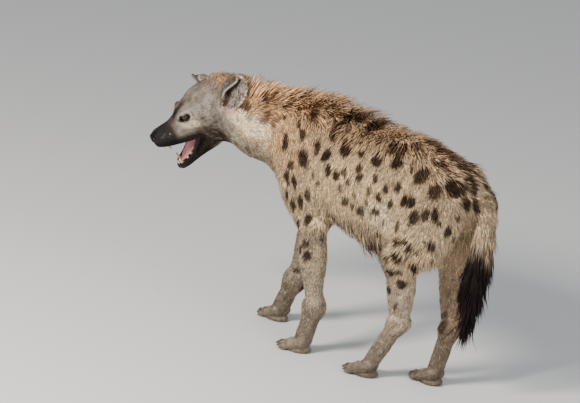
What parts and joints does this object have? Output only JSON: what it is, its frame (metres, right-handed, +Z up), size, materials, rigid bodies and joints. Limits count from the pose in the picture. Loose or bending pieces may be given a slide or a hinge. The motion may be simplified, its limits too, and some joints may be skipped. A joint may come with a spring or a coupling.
{
  "type": "spotted hyena",
  "caption": "Life-size spotted hyena standing with its neck turned to its left, mouth open, mane raised and brushy tail hanging.",
  "frame": {"origin": "middle of the underside of the whole animal's box, on the plane of the soles", "axes": "the body faces -X with its left side towards -Y, and +Z is up; the head is turned towards -Y"},
  "size_m": [1.226, 0.3794, 0.8151],
  "materials": {
    "coat": "short dense coat, brown spots",
    "mane": "long rufous hair",
    "face": "short hair, black muzzle",
    "limb": "short coat, brown spots",
    "brush": "long dark hair",
    "ear": "thin skin with short hair",
    "eye": "wet gloss",
    "tongue": "moist"
  },
  "bodies": {
    "root": {"torso": "coat", "neck": "mane", "head": "face", "jaw": "face", "tongue": "tongue", "ear_left": "ear", "ear_right": "ear", "eye_left": "eye", "eye_right": "eye", "foreleg_left": "limb", "foreleg_right": "limb", "hindleg_left": "limb", "hindleg_right": "limb", "tail": "brush"}
  },
  "joints": []
}
